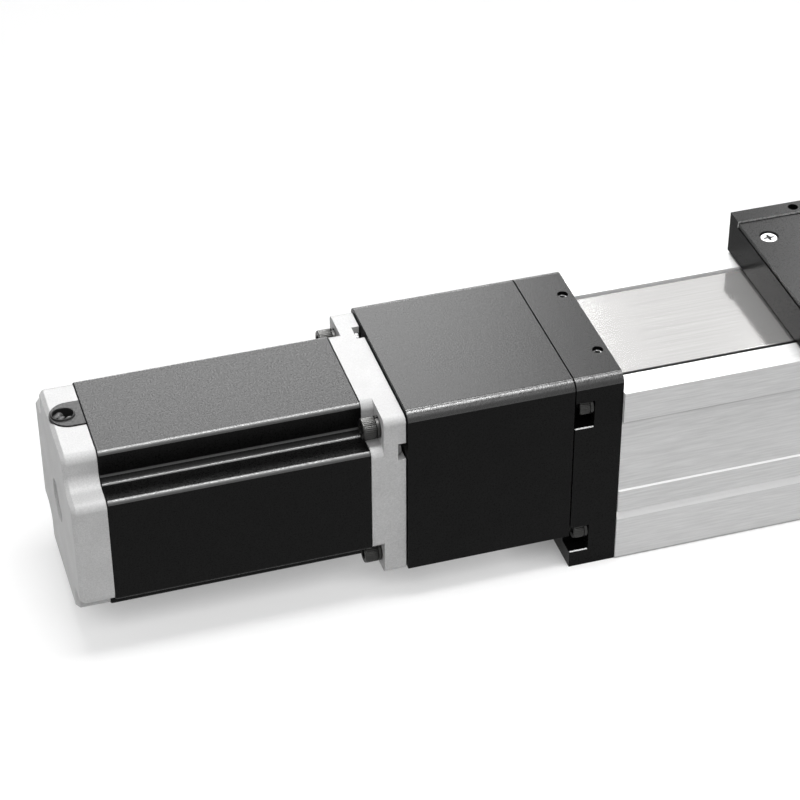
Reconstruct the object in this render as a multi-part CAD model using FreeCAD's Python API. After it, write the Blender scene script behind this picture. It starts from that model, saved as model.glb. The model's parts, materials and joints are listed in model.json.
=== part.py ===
"""Ball screw linear module: stepper motor, coupling housing, covered profile and carriage.

Millimetres. +X runs along the module from the motor to the far end, +Z is up, and the origin is
the centre of the profile's bottom face. The carriage stands where it is pictured, near the motor.
The motor's flange sets the widths, and the stroke and the table set the length.
"""
import FreeCAD, Part
import math
import os

Vector = FreeCAD.Vector
X_AXIS = Vector(1, 0, 0)
Y_AXIS = Vector(0, 1, 0)
Z_AXIS = Vector(0, 0, 1)

# Driving sizes
MOTOR_WIDTH = 86.0
AXIS_HEIGHT = 60.0
STROKE = 250.0
TABLE_LENGTH = 120.0
END_GAP = 3.0
REST_GAP = 88.0

# Named clearances
SLIDE_GAP = 0.3
RUNNING_GAP = 0.2
BEARING_GAP = 0.15
HOLE_GAP = 0.2
SEAT_GAP = 0.05

# Widths, stepped out from the motor
HOUSING_OVERHANG = 1.5
PROFILE_OVERHANG = 1.9
PROFILE_WALL = 6.9
STRIP_MARGIN = 16.0
SCREW_LINE_INSET = 7.5
HOUSING_WIDTH = MOTOR_WIDTH + 2 * HOUSING_OVERHANG
MODULE_WIDTH = HOUSING_WIDTH + 2 * PROFILE_OVERHANG
CAVITY_WIDTH = MODULE_WIDTH - 2 * PROFILE_WALL
STRIP_WIDTH = MODULE_WIDTH - 2 * STRIP_MARGIN
SCREW_LINE_Y = STRIP_WIDTH / 2 - SCREW_LINE_INSET

# Motor
MOTOR_BODY_STEP = 0.2
MOTOR_BODY_WIDTH = MOTOR_WIDTH - 2 * MOTOR_BODY_STEP
FLANGE_CORNER_RADIUS = 3.0
EAR_THICKNESS = 10.0
BELL_LENGTH = 5.65
STATOR_LENGTH = 117.1
REAR_CAP_LENGTH = 15.3
NOTCH = 15.4
CAP_CONVEX_RADIUS = 4.0
CAP_CONCAVE_RADIUS = 6.0
STATOR_CONVEX_RADIUS = 2.0
STATOR_CONCAVE_RADIUS = 4.0
REAR_EDGE_CHAMFER = 1.8
REAR_RECESS_RADIUS = 10.0
REAR_RECESS_DEPTH = 1.5
PILOT_EDGE = 6.5
PILOT_RADIUS = MOTOR_WIDTH / 2 - PILOT_EDGE
PILOT_HEIGHT = 2.0
BOLT_EDGE = 8.2
BOLT_OFFSET = MOTOR_WIDTH / 2 - BOLT_EDGE
MOTOR_SHAFT_RADIUS = 7.0
MOTOR_SHAFT_LENGTH = 32.0
ROTOR_RADIUS = 23.0
ROTOR_END_GAP = 6.0
POCKET_EDGE = 18.0
POCKET_OFFSET = MOTOR_WIDTH / 2 - POCKET_EDGE
POCKET_WIDTH = 9.0
POCKET_DEPTH = 3.6
POCKET_ROUND = 4.4
POCKET_RISE = 8.3

# Motor bolts, head with its spring washer
BOLT_RADIUS = 3.0
BOLT_HEAD_RADIUS = 5.0
BOLT_HEAD_HEIGHT = 6.2
BOLT_SOCKET = 5.0
SPRING_WASHER = 1.8
BOLT_LENGTH = 25.0
TAP_DEPTH = 3.0

# Wire grommet
GROMMET_WIDTH = 17.5
GROMMET_SHIFT = 3.2
GROMMET_RAISE = 0.6
GROMMET_DEPTH = 5.0
GROMMET_END_MARGIN = 0.6
GROMMET_HOLE_LENGTH = 9.2
GROMMET_HOLE_WIDTH = 7.6
GROMMET_LIP = 1.4

# Coupling housing and end blocks
HOUSING_LENGTH = 78.2
HOUSING_RISE = 0.8
HOUSING_CUT = 3.0
HOUSING_TOP = AXIS_HEIGHT + HOUSING_WIDTH / 2 + HOUSING_RISE
HOUSING_BOTTOM = AXIS_HEIGHT - HOUSING_WIDTH / 2 + HOUSING_CUT
TOP_EDGE_RADIUS = 5.0
BLOCK_LENGTH = 22.4
SIDE_POCKET_LENGTH = 9.0
SIDE_POCKET_DEPTH = 9.2
SIDE_POCKET_HEIGHT = 14.5
LOWER_POCKET_Z = 15.75
UPPER_POCKET_DROP = 9.25

# Profile
BAND_STEP = 1.5
LEDGE_STEP = 0.8
FOOT_STEP = 1.1
PROFILE_RISE = 36.0
PROFILE_TOP = AXIS_HEIGHT + PROFILE_RISE
BAND_HEIGHT = 16.0
LEDGE_TOP = 40.5
LEDGE_CHAMFER = 0.7
GROOVE_TOP = 28.0
GROOVE_BOTTOM = 23.4
GROOVE_DEPTH = 1.8
FOOT_CHAMFER = 0.6
FLOOR_TOP = 30.0
LIP_THICKNESS = 6.0
BASE_HOLE_END = 63.0
BASE_HOLE_EDGE = 16.4
BASE_HOLE_Y = MODULE_WIDTH / 2 - BASE_HOLE_EDGE
BASE_HOLE_RADIUS = 2.5
BASE_HOLE_DEPTH = 14.0
CHAMBER_WEB = 4.0
CHAMBER_WALL = 9.0
CHAMBER_FLOOR = 5.5
CHAMBER_HEIGHT = 19.0

# Cover strip
STRIP_THICKNESS = 3.8
STRIP_DROP = 0.4
STRIP_SEAT_LENGTH = 10.0
STRIP_SCREW_INSET = 4.7
STRIP_SCREW_RADIUS = 2.5
SLOT_WIDTH = 2.1

# Guides
RAIL_WIDTH = 12.0
RAIL_HEIGHT = 8.0
RAIL_GROOVE = 0.8
RAIL_GROOVE_BOTTOM = 2.4
RAIL_GROOVE_TOP = 6.0
RAIL_END_MARGIN = 4.0
GUIDE_WIDTH = 27.0
GUIDE_SIDE_GAP = 1.0
RAIL_Y = (CAVITY_WIDTH - GUIDE_WIDTH) / 2 - GUIDE_SIDE_GAP
GUIDE_LENGTH = 34.7
GUIDE_TOP = 13.0
GUIDE_UNDERSIDE = 3.0
GUIDE_INSET = 22.0
GUIDE_REACH = TABLE_LENGTH / 2 - GUIDE_INSET
END_CAP_LENGTH = 4.0
END_CAP_STEP = 0.4

# Ball screw and its bearings
SCREW_RADIUS = 8.0
JOURNAL_RADIUS = 6.0
COUPLING_JOURNAL_RADIUS = 5.0
FAR_JOURNAL_RADIUS = 5.0
FIXED_BEARING_RADIUS = 16.0
FIXED_BEARING_LENGTH = 20.0
FAR_BEARING_RADIUS = 13.0
FAR_BEARING_LENGTH = 8.0
BEARING_SHOULDER_RADIUS = 11.0
LOCK_NUT_ACROSS = 19.0
LOCK_NUT_LENGTH = 9.0
RETAINER_WIDTH = 42.0
RETAINER_CORNER = 6.0
RETAINER_BORE_RADIUS = 11.6
RETAINER_THICKNESS = 4.0
NUT_BODY_RADIUS = 14.0
NUT_BODY_LENGTH = 42.0
NUT_FLANGE_THICKNESS = 10.0
NUT_FLAT_DEPTH = 4.0
NUT_END_GAP = 0.65

# Jaw coupling
COUPLING_RADIUS = 20.0
JAW_LENGTH = 14.0
JAW_INNER_RADIUS = 10.0
JAW_HALF_ANGLE = 19.5
JAW_COUNT = 3
SPIDER_BORE_RADIUS = 7.6
SPIDER_HALF_ANGLE = 9.5
SPIDER_END_GAP = 0.5
COUPLING_START = 12.0
COUPLING_END_GAP = 4.2
COUPLING_SPACE = HOUSING_LENGTH - COUPLING_START - COUPLING_END_GAP - LOCK_NUT_LENGTH
HUB_LENGTH = (COUPLING_SPACE - JAW_LENGTH) / 2 - SPIDER_END_GAP
HUB_SLIT = 1.2
HUB_SLIT_LENGTH = 14.0

# Carriage
TABLE_HEIGHT = 21.0
TABLE_GAP = 1.0
BAND_WIDTH = 8.8
BAND_RAISE = 0.8
COVER_PLATE_THICKNESS = 2.5
TABLE_POCKET_MARGIN = 18.0
TABLE_POCKET_STEP = 2.4
TABLE_POCKET_LENGTH = TABLE_LENGTH - 2 * TABLE_POCKET_MARGIN
TABLE_POCKET_WIDTH = STRIP_WIDTH - 2 * TABLE_POCKET_STEP
TABLE_FLOOR = 4.0
TABLE_HOLE_X = TABLE_LENGTH / 4
TABLE_HOLE_Y = (MODULE_WIDTH - BAND_WIDTH) / 2
TABLE_HOLE_RADIUS = 2.5
TABLE_HOLE_DEPTH = 12.0
COVER_SCREW_INSET = 9.4
COVER_SINK_RADIUS = 4.6
COVER_SINK_FOOT = 2.2
WIPER_THICKNESS = 3.0
WIPER_INSET = 2.0
WIPER_SOCKET = 1.6
SIDE_PLATE_THICKNESS = 1.5
SIDE_PLATE_INSET = 10.0
SIDE_PLATE_LENGTH = TABLE_LENGTH - 2 * SIDE_PLATE_INSET
SIDE_PLATE_FOOT = 2.0
SIDE_FLANGE_WIDTH = 11.0
SADDLE_INSET = 4.0
SADDLE_LENGTH = TABLE_LENGTH - 2 * SADDLE_INSET
SADDLE_SIDE_GAP = 2.0
SADDLE_BASE = 11.0
SADDLE_RISE = 22.0
SADDLE_WALL = 6.1
SADDLE_BOSS_LENGTH = 44.0
SADDLE_SCREW_GAP = 2.5
BUMPER_SIDE = 8.0
BUMPER_LENGTH = 6.0
BUMPER_RISE = 6.0

# Places along X
PROFILE_LENGTH = STROKE + TABLE_LENGTH + 2 * END_GAP
X_PROFILE_START = -PROFILE_LENGTH / 2
X_PROFILE_END = PROFILE_LENGTH / 2
X_BLOCK = X_PROFILE_START - BLOCK_LENGTH
X_FAR_END = X_PROFILE_END + BLOCK_LENGTH
X_FLANGE = X_BLOCK - HOUSING_LENGTH
X_EAR_BACK = X_FLANGE - EAR_THICKNESS
X_STATOR_FRONT = X_EAR_BACK - BELL_LENGTH
X_STATOR_REAR = X_STATOR_FRONT - STATOR_LENGTH
X_MOTOR_REAR = X_STATOR_REAR - REAR_CAP_LENGTH
X_TABLE = X_PROFILE_START + REST_GAP + TABLE_LENGTH / 2
X_SHAFT_TIP = X_FLANGE + MOTOR_SHAFT_LENGTH
X_SCREW_SHOULDER = X_BLOCK + FIXED_BEARING_LENGTH
X_NUT_FLANGE = X_TABLE - GUIDE_REACH + GUIDE_LENGTH / 2 + NUT_END_GAP
X_NUT_SEAT = X_NUT_FLANGE + NUT_FLANGE_THICKNESS
BASE_HOLE_X = PROFILE_LENGTH / 2 - BASE_HOLE_END

# Heights, and widths that follow the strip
STRIP_TOP = PROFILE_TOP - STRIP_DROP
STRIP_BOTTOM = STRIP_TOP - STRIP_THICKNESS
LIP_INNER = STRIP_WIDTH / 2 + SLOT_WIDTH
GUIDE_FACE = FLOOR_TOP + GUIDE_TOP
TABLE_BOTTOM = PROFILE_TOP + TABLE_GAP
TABLE_TOP = TABLE_BOTTOM + TABLE_HEIGHT
COVER_PLATE_TOP = TABLE_TOP - BAND_RAISE
COVER_PLATE_BOTTOM = COVER_PLATE_TOP - COVER_PLATE_THICKNESS
SIDE_PLATE_Y = STRIP_WIDTH / 2 + SLIDE_GAP
SIDE_PLATE_TOP = TABLE_BOTTOM + HOLE_GAP + SIDE_PLATE_THICKNESS
SADDLE_FLOOR = GUIDE_FACE + SADDLE_BASE
SADDLE_TOP = AXIS_HEIGHT + SADDLE_RISE
SADDLE_WALL_IN = SIDE_PLATE_Y - SADDLE_WALL
NUT_FLANGE_RADIUS = SADDLE_WALL_IN - 2 * SLIDE_GAP
WIPER_HALF_WIDTH = STRIP_WIDTH / 2 - SLIDE_GAP


def box(x0, x1, y0, y1, z0, z1):
    """A box between two corners, given in any order."""
    low = Vector(min(x0, x1), min(y0, y1), min(z0, z1))
    return Part.makeBox(abs(x1 - x0), abs(y1 - y0), abs(z1 - z0), low)


def cylinder(x0, x1, radius, y=0.0, z=AXIS_HEIGHT):
    """A cylinder along X."""
    return Part.makeCylinder(radius, abs(x1 - x0), Vector(min(x0, x1), y, z), X_AXIS)


def tube(x0, x1, inner, outer):
    """A ring about the screw axis."""
    return cylinder(x0, x1, outer).cut(cylinder(x0, x1, inner))


def mirror_y(shape):
    """The shape on the other side of the module."""
    return shape.mirror(Vector(0, 0, 0), Y_AXIS)


def both_sides(shape):
    return [shape, mirror_y(shape)]


def group(shapes):
    """Separate solids kept as one sub-part."""
    solids = []
    for shape in shapes:
        solids.extend(shape.Solids)
    return Part.makeCompound(solids)


def fuse(shapes):
    return shapes[0].multiFuse(shapes[1:]).removeSplitter()


def rounded_edges(corners):
    """Edges of a closed outline; each corner is (y, z, radius)."""
    count = len(corners)
    starts = []
    ends = []
    arcs = []
    for index, (y, z, radius) in enumerate(corners):
        point = Vector(0, y, z)
        before = Vector(0, corners[index - 1][0], corners[index - 1][1]) - point
        after = Vector(0, corners[(index + 1) % count][0], corners[(index + 1) % count][1]) - point
        before.normalize()
        after.normalize()
        if radius <= 0:
            starts.append(point)
            ends.append(point)
            continue
        half_angle = before.getAngle(after) / 2
        reach = radius / math.tan(half_angle)
        bisector = before + after
        bisector.normalize()
        centre = point + bisector * (radius / math.sin(half_angle))
        starts.append(point + before * reach)
        ends.append(point + after * reach)
        arcs.append(Part.Arc(starts[-1], centre - bisector * radius, ends[-1]).toShape())
    edges = list(arcs)
    for index in range(count):
        first = ends[index]
        last = starts[(index + 1) % count]
        if first.distanceToPoint(last) > 1e-6:
            edges.append(Part.LineSegment(first, last).toShape())
    return edges


def prism(corners, x0, x1, lift=0.0):
    """A straight bar along X with a rounded outline in Y and Z."""
    wire = Part.Wire(Part.__sortEdges__(rounded_edges(corners)))
    face = Part.Face(wire)
    face.translate(Vector(x0, 0, lift))
    return face.extrude(Vector(x1 - x0, 0, 0))


def notched_outline(width, notch, convex, concave):
    """A square about the screw axis with an L-shaped notch in each corner."""
    half = width / 2
    step = half - notch
    quarter = [(half, -step, convex), (half, step, convex), (step, step, concave)]
    corners = []
    for turn in range(4):
        for y, z, radius in quarter:
            for _ in range(turn):
                y, z = -z, y
            corners.append((y, z, radius))
    return corners


def square_outline(width, radius):
    half = width / 2
    return [(half, -half, radius), (half, half, radius), (-half, half, radius), (-half, -half, radius)]


def block_outline(bottom):
    """The end view of the housing and the blocks, with rounded long top edges."""
    half = HOUSING_WIDTH / 2
    return [
        (half, bottom, 0),
        (half, HOUSING_TOP, TOP_EDGE_RADIUS),
        (-half, HOUSING_TOP, TOP_EDGE_RADIUS),
        (-half, bottom, 0),
    ]


def hex_prism(across, length):
    """A hexagonal bar up from the origin."""
    corner = across / math.sqrt(3)
    points = []
    for side in range(7):
        angle = math.radians(60 * side)
        points.append(Vector(corner * math.cos(angle), corner * math.sin(angle), 0))
    return Part.Face(Part.makePolygon(points)).extrude(Vector(0, 0, length))


def place(shape, position, direction):
    """Turn a shape's +Z to a direction and move its origin to a position."""
    rotation = FreeCAD.Rotation(Z_AXIS, direction)
    placed = shape.copy()
    placed.Placement = FreeCAD.Placement(position, rotation)
    return placed


def motor_bolt():
    """A motor bolt: its head and washer stand on the origin and its shank points down."""
    height = SPRING_WASHER + BOLT_HEAD_HEIGHT
    depth = BOLT_HEAD_HEIGHT / 2
    head = Part.makeCylinder(BOLT_HEAD_RADIUS, height)
    shank = Part.makeCylinder(BOLT_RADIUS, BOLT_LENGTH - SPRING_WASHER, Vector(0, 0, 0), -Z_AXIS)
    socket = hex_prism(BOLT_SOCKET, depth)
    socket.translate(Vector(0, 0, height - depth))
    return head.fuse(shank).removeSplitter().cut(socket)


# Motor
def bolt_places():
    """Four (y, z) places on a square about the screw axis."""
    return [(y, AXIS_HEIGHT + z) for y in (-BOLT_OFFSET, BOLT_OFFSET) for z in (-BOLT_OFFSET, BOLT_OFFSET)]


def flange_pocket():
    """A round-cornered slot that breaks out of the flange's top edge, to be turned to each side."""
    half = POCKET_WIDTH / 2
    low = MOTOR_WIDTH / 2 - POCKET_RISE
    high = MOTOR_WIDTH / 2 + POCKET_DEPTH
    outline = [
        (POCKET_OFFSET + half, low, POCKET_ROUND),
        (POCKET_OFFSET + half, high, 0),
        (POCKET_OFFSET - half, high, 0),
        (POCKET_OFFSET - half, low, POCKET_ROUND),
    ]
    return prism(outline, X_FLANGE - POCKET_DEPTH, X_FLANGE + PILOT_HEIGHT, AXIS_HEIGHT)


def motor_front_flange():
    ears = prism(square_outline(MOTOR_WIDTH, FLANGE_CORNER_RADIUS), X_EAR_BACK, X_FLANGE, AXIS_HEIGHT)
    bell_outline = notched_outline(MOTOR_WIDTH, NOTCH, CAP_CONVEX_RADIUS, CAP_CONCAVE_RADIUS)
    bell = prism(bell_outline, X_STATOR_FRONT, X_EAR_BACK, AXIS_HEIGHT)
    pilot = cylinder(X_FLANGE, X_FLANGE + PILOT_HEIGHT, PILOT_RADIUS)
    cuts = [cylinder(X_STATOR_FRONT, X_FLANGE + PILOT_HEIGHT, MOTOR_SHAFT_RADIUS + SLIDE_GAP)]
    for y, z in bolt_places():
        cuts.append(cylinder(X_EAR_BACK, X_FLANGE, BOLT_RADIUS + HOLE_GAP, y, z))
    for turn in range(4):
        pocket = flange_pocket()
        pocket.rotate(Vector(0, 0, AXIS_HEIGHT), X_AXIS, 90 * turn)
        cuts.append(pocket)
    return fuse([ears, bell, pilot]).cut(cuts)


def motor_stator():
    outline = notched_outline(MOTOR_BODY_WIDTH, NOTCH, STATOR_CONVEX_RADIUS, STATOR_CONCAVE_RADIUS)
    stator = prism(outline, X_STATOR_REAR, X_STATOR_FRONT, AXIS_HEIGHT)
    return stator.cut(cylinder(X_STATOR_REAR, X_STATOR_FRONT, ROTOR_RADIUS + SLIDE_GAP))


def grommet_tongue(bottom, top):
    """A bar with a half-round end towards the motor's rear."""
    radius = GROMMET_WIDTH / 2
    x_round = X_MOTOR_REAR + GROMMET_END_MARGIN + radius
    low_y = GROMMET_SHIFT - radius
    high_y = GROMMET_SHIFT + radius
    bar = box(x_round, X_STATOR_REAR, low_y, high_y, bottom, top)
    end = Part.makeCylinder(radius, top - bottom, Vector(x_round, GROMMET_SHIFT, bottom))
    end = end.common(box(X_MOTOR_REAR, X_STATOR_REAR, low_y, high_y, bottom, top))
    return fuse([bar, end])


def grommet_hole(extra, bottom, top):
    """The oval through which the leads come out."""
    radius = GROMMET_HOLE_WIDTH / 2 + extra
    half_run = (GROMMET_HOLE_LENGTH - GROMMET_HOLE_WIDTH) / 2
    x_mid = X_MOTOR_REAR + GROMMET_END_MARGIN + GROMMET_LIP + GROMMET_HOLE_LENGTH / 2
    low_y = GROMMET_SHIFT - radius
    high_y = GROMMET_SHIFT + radius
    parts = [box(x_mid - half_run, x_mid + half_run, low_y, high_y, bottom, top)]
    for x in (x_mid - half_run, x_mid + half_run):
        parts.append(Part.makeCylinder(radius, top - bottom, Vector(x, GROMMET_SHIFT, bottom)))
    return fuse(parts)


def motor_rear_cap():
    top = AXIS_HEIGHT + MOTOR_BODY_WIDTH / 2
    outline = notched_outline(MOTOR_BODY_WIDTH, NOTCH, CAP_CONVEX_RADIUS, CAP_CONCAVE_RADIUS)
    cap = prism(outline, X_MOTOR_REAR, X_STATOR_REAR, AXIS_HEIGHT)
    rear_edges = [edge for edge in cap.Edges if edge.BoundBox.XMax < X_MOTOR_REAR + SEAT_GAP]
    cap = cap.makeChamfer(REAR_EDGE_CHAMFER, rear_edges)
    recess = cylinder(X_MOTOR_REAR, X_MOTOR_REAR + REAR_RECESS_DEPTH, REAR_RECESS_RADIUS)
    return cap.cut([recess, grommet_tongue(top - GROMMET_DEPTH, top + GROMMET_RAISE)])


def wire_grommet():
    top = AXIS_HEIGHT + MOTOR_BODY_WIDTH / 2
    raised = top + GROMMET_RAISE
    lip_radius = GROMMET_LIP / 2
    tongue = grommet_tongue(top - GROMMET_DEPTH, raised)
    lip = grommet_hole(lip_radius, raised, raised + lip_radius)
    return fuse([tongue, lip]).cut(grommet_hole(0, top - GROMMET_DEPTH + lip_radius, raised + lip_radius))


def motor_bolts():
    bolt = motor_bolt()
    return group([place(bolt, Vector(X_EAR_BACK, y, z), -X_AXIS) for y, z in bolt_places()])


def motor_shaft():
    """The shaft with the rotor's core on it, in one solid."""
    core = cylinder(X_STATOR_REAR + ROTOR_END_GAP, X_STATOR_FRONT - ROTOR_END_GAP, ROTOR_RADIUS)
    return fuse([core, cylinder(X_STATOR_FRONT - ROTOR_END_GAP, X_SHAFT_TIP, MOTOR_SHAFT_RADIUS)])


# Coupling housing and end blocks
def coupling_housing():
    """An open-ended housing whose bore also takes the motor's pilot."""
    housing = prism(block_outline(HOUSING_BOTTOM), X_FLANGE, X_BLOCK)
    depth = BOLT_LENGTH - EAR_THICKNESS - SPRING_WASHER + TAP_DEPTH
    cuts = [cylinder(X_FLANGE, X_BLOCK, PILOT_RADIUS + HOLE_GAP)]
    for y, z in bolt_places():
        cuts.append(cylinder(X_FLANGE, X_FLANGE + depth, BOLT_RADIUS + SEAT_GAP, y, z))
    return housing.cut(cuts)


def plain_block(outer_x, inner_x):
    """A block between its outer face and its profile side, with pockets and a seat for the strip."""
    inward = 1 if inner_x > outer_x else -1
    block = prism(block_outline(0), min(outer_x, inner_x), max(outer_x, inner_x))
    half_strip = STRIP_WIDTH / 2 + SLIDE_GAP
    seat_x = inner_x - inward * (STRIP_SEAT_LENGTH + SLIDE_GAP)
    cuts = [box(seat_x, inner_x, -half_strip, half_strip, STRIP_BOTTOM, STRIP_TOP + HOLE_GAP)]
    side = HOUSING_WIDTH / 2
    pocket_x = outer_x + inward * SIDE_POCKET_LENGTH
    for middle in (LOWER_POCKET_Z, PROFILE_TOP - UPPER_POCKET_DROP):
        low = middle - SIDE_POCKET_HEIGHT / 2
        pocket = box(outer_x, pocket_x, side - SIDE_POCKET_DEPTH, side, low, low + SIDE_POCKET_HEIGHT)
        cuts.extend(both_sides(pocket))
    screw_x = inner_x - inward * STRIP_SCREW_INSET
    hole_foot = Vector(screw_x, SCREW_LINE_Y, STRIP_TOP)
    hole = Part.makeCylinder(STRIP_SCREW_RADIUS, HOUSING_TOP - STRIP_TOP, hole_foot)
    cuts.extend(both_sides(hole))
    return block.cut(cuts)


def drive_end_block():
    block = plain_block(X_BLOCK, X_PROFILE_START)
    bore = cylinder(X_BLOCK, X_SCREW_SHOULDER, FIXED_BEARING_RADIUS)
    return block.cut([bore, cylinder(X_BLOCK, X_PROFILE_START, BEARING_SHOULDER_RADIUS)])


def far_end_block():
    block = plain_block(X_FAR_END, X_PROFILE_END)
    bore_end = X_PROFILE_END + FAR_BEARING_LENGTH + SLIDE_GAP
    return block.cut(cylinder(X_PROFILE_END, bore_end, FAR_BEARING_RADIUS))


def bearing_ring(x, length, inner, outer):
    """One ring of a sealed bearing, kept as a plain tube."""
    return tube(x, x + length, inner, outer)


def bearing_outer_rings():
    fixed_split = (JOURNAL_RADIUS + FIXED_BEARING_RADIUS) / 2 + BEARING_GAP
    far_split = (FAR_JOURNAL_RADIUS + FAR_BEARING_RADIUS) / 2 + BEARING_GAP
    return group([
        bearing_ring(X_BLOCK, FIXED_BEARING_LENGTH, fixed_split, FIXED_BEARING_RADIUS),
        bearing_ring(X_PROFILE_END, FAR_BEARING_LENGTH, far_split, FAR_BEARING_RADIUS),
    ])


def bearing_inner_rings():
    fixed_split = (JOURNAL_RADIUS + FIXED_BEARING_RADIUS) / 2 - BEARING_GAP
    far_split = (FAR_JOURNAL_RADIUS + FAR_BEARING_RADIUS) / 2 - BEARING_GAP
    return group([
        bearing_ring(X_BLOCK, FIXED_BEARING_LENGTH, JOURNAL_RADIUS, fixed_split),
        bearing_ring(X_PROFILE_END, FAR_BEARING_LENGTH, FAR_JOURNAL_RADIUS, far_split),
    ])


def bearing_retainer():
    """A square plate with cut corners that holds the bearing in the drive end block."""
    half = RETAINER_WIDTH / 2
    short = half - RETAINER_CORNER
    outline = [
        (half, -short, 0), (half, short, 0), (short, half, 0), (-short, half, 0),
        (-half, short, 0), (-half, -short, 0), (-short, -half, 0), (short, -half, 0),
    ]
    plate = prism(outline, X_BLOCK - RETAINER_THICKNESS, X_BLOCK, AXIS_HEIGHT)
    return plate.cut(cylinder(X_BLOCK - RETAINER_THICKNESS, X_BLOCK, RETAINER_BORE_RADIUS))


def end_bumpers():
    """Rubber stops for the saddle's side walls."""
    low_y = SIDE_PLATE_Y - SADDLE_WALL / 2 - BUMPER_SIDE / 2
    low_z = AXIS_HEIGHT + BUMPER_RISE - BUMPER_SIDE / 2
    bumpers = []
    for start, end in (
        (X_PROFILE_START, X_PROFILE_START + BUMPER_LENGTH),
        (X_PROFILE_END - BUMPER_LENGTH, X_PROFILE_END),
    ):
        bumpers.extend(both_sides(box(start, end, low_y, low_y + BUMPER_SIDE, low_z, low_z + BUMPER_SIDE)))
    return group(bumpers)


# Profile, strip and rails
def profile_side():
    """The right half of the profile's outline, from the bottom up to the cavity floor."""
    band = MODULE_WIDTH / 2
    side = band - BAND_STEP
    ledge = band - LEDGE_STEP
    foot = band - FOOT_STEP
    band_bottom = PROFILE_TOP - BAND_HEIGHT
    return [
        (foot - FOOT_CHAMFER, 0, 0),
        (foot, FOOT_CHAMFER, 0),
        (foot, GROOVE_BOTTOM, 0),
        (ledge - GROOVE_DEPTH, GROOVE_TOP - GROOVE_DEPTH / 2, 0),
        (ledge - GROOVE_DEPTH, GROOVE_TOP, 0),
        (ledge, GROOVE_TOP, 0),
        (ledge, LEDGE_TOP - LEDGE_CHAMFER, 0),
        (side, LEDGE_TOP, 0),
        (side, band_bottom, 0),
        (band, band_bottom, 0),
        (band, PROFILE_TOP, 0),
        (LIP_INNER, PROFILE_TOP, 0),
        (LIP_INNER, PROFILE_TOP - LIP_THICKNESS, 0),
        (CAVITY_WIDTH / 2, PROFILE_TOP - LIP_THICKNESS, 0),
        (CAVITY_WIDTH / 2, FLOOR_TOP, 0),
    ]


def base_profile():
    """An extruded trough with lips over its cavity and two chambers under its floor."""
    right = profile_side()
    left = [(-y, z, radius) for y, z, radius in reversed(right)]
    profile = prism(right + left, X_PROFILE_START, X_PROFILE_END)
    chamber = box(X_PROFILE_START, X_PROFILE_END, CHAMBER_WEB / 2, BASE_HOLE_Y - CHAMBER_WALL,
                  CHAMBER_FLOOR, CHAMBER_FLOOR + CHAMBER_HEIGHT)
    cuts = both_sides(chamber)
    for x in (-BASE_HOLE_X, BASE_HOLE_X):
        for y in (-BASE_HOLE_Y, BASE_HOLE_Y):
            cuts.append(Part.makeCylinder(BASE_HOLE_RADIUS, BASE_HOLE_DEPTH, Vector(x, y, 0)))
    return profile.cut(cuts)


def cover_strip():
    half = STRIP_WIDTH / 2
    start = X_PROFILE_START - STRIP_SEAT_LENGTH
    end = X_PROFILE_END + STRIP_SEAT_LENGTH
    return box(start, end, -half, half, STRIP_BOTTOM, STRIP_TOP)


def rail_section(grow=0.0):
    """A rail's end view on the floor, or the same grown by a clearance for the blocks."""
    half = RAIL_WIDTH / 2 + grow
    waist = half - RAIL_GROOVE
    low = RAIL_GROOVE_BOTTOM
    high = RAIL_GROOVE_TOP
    top = RAIL_HEIGHT + grow
    right = [
        (half, -grow, 0),
        (half, low, 0),
        (waist, low + RAIL_GROOVE, 0),
        (waist, high - RAIL_GROOVE, 0),
        (half, high, 0),
        (half, top, 0),
    ]
    return right + [(-y, z, radius) for y, z, radius in reversed(right)]


def guide_rails():
    rail = prism(rail_section(), X_PROFILE_START + RAIL_END_MARGIN, X_PROFILE_END - RAIL_END_MARGIN)
    rail.translate(Vector(0, RAIL_Y, FLOOR_TOP))
    return group(both_sides(rail))


# Spindle
def ball_screw():
    coupling_end = X_FLANGE + COUPLING_START + HUB_LENGTH + JAW_LENGTH
    pieces = [
        cylinder(coupling_end, X_BLOCK - LOCK_NUT_LENGTH, COUPLING_JOURNAL_RADIUS),
        cylinder(X_BLOCK - LOCK_NUT_LENGTH, X_SCREW_SHOULDER, JOURNAL_RADIUS),
        cylinder(X_SCREW_SHOULDER, X_PROFILE_END, SCREW_RADIUS),
        cylinder(X_PROFILE_END, X_PROFILE_END + FAR_BEARING_LENGTH, FAR_JOURNAL_RADIUS),
    ]
    return fuse(pieces)


def lock_nut():
    """A six-sided nut that clamps the fixed bearing's inner ring on the screw."""
    nut = hex_prism(LOCK_NUT_ACROSS, LOCK_NUT_LENGTH)
    nut = place(nut, Vector(X_BLOCK - LOCK_NUT_LENGTH, 0, AXIS_HEIGHT), X_AXIS)
    return nut.cut(cylinder(X_BLOCK - LOCK_NUT_LENGTH, X_BLOCK, JOURNAL_RADIUS))


def sector(x0, x1, inner, outer, half_angle, middle):
    """A ring sector about the screw axis; angles in degrees from +Y."""
    corners = [
        Vector(x0, inner, AXIS_HEIGHT),
        Vector(x1, inner, AXIS_HEIGHT),
        Vector(x1, outer, AXIS_HEIGHT),
        Vector(x0, outer, AXIS_HEIGHT),
        Vector(x0, inner, AXIS_HEIGHT),
    ]
    centre = Vector(0, 0, AXIS_HEIGHT)
    wedge = Part.Face(Part.makePolygon(corners)).revolve(centre, X_AXIS, 2 * half_angle)
    wedge.rotate(centre, X_AXIS, middle - half_angle)
    return wedge


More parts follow.
